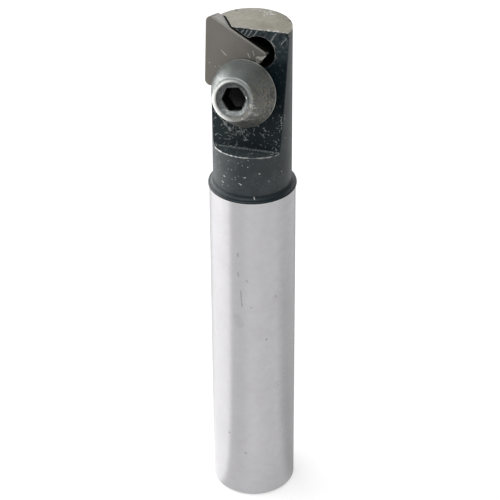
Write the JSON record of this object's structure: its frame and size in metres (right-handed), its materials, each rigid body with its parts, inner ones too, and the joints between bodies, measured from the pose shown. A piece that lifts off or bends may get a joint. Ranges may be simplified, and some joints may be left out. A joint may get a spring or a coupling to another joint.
{
  "type": "indexable end mill",
  "caption": "Small end mill with a cylindrical shank and a triangular carbide insert, held in its pocket by a leaning hexagon-socket clamp screw.",
  "frame": {"origin": "middle of the shank's flat end face, on the tool's axis", "axes": "+Z along the tool's axis from the shank's end to the cutting end, -Y is the side of the milled flat with the insert and the clamp screw, -X is the insert's side cutting edge"},
  "size_m": [0.0122, 0.0139, 0.0763],
  "materials": {
    "body_steel": "ground bright shank with a black oxide neck and head, worn bright at the edges",
    "insert_carbide": "ground uncoated carbide, warm grey and matt",
    "screw_steel": "hardened steel, mottled grey with a bright worn rim"
  },
  "bodies": {
    "holder": {"cutter_body": "body_steel", "carbide_insert": "insert_carbide"},
    "screw": {"clamp_screw": "screw_steel"}
  },
  "joints": [
    {"name": "clamp_screw_turn", "type": "hinge", "parent": "holder", "child": "screw", "pos_m": [-0.00028, -0.00296, 0.06644], "axis": [-0.0868, -0.9628, 0.2559], "range_deg": [0, 3450]}
  ]
}
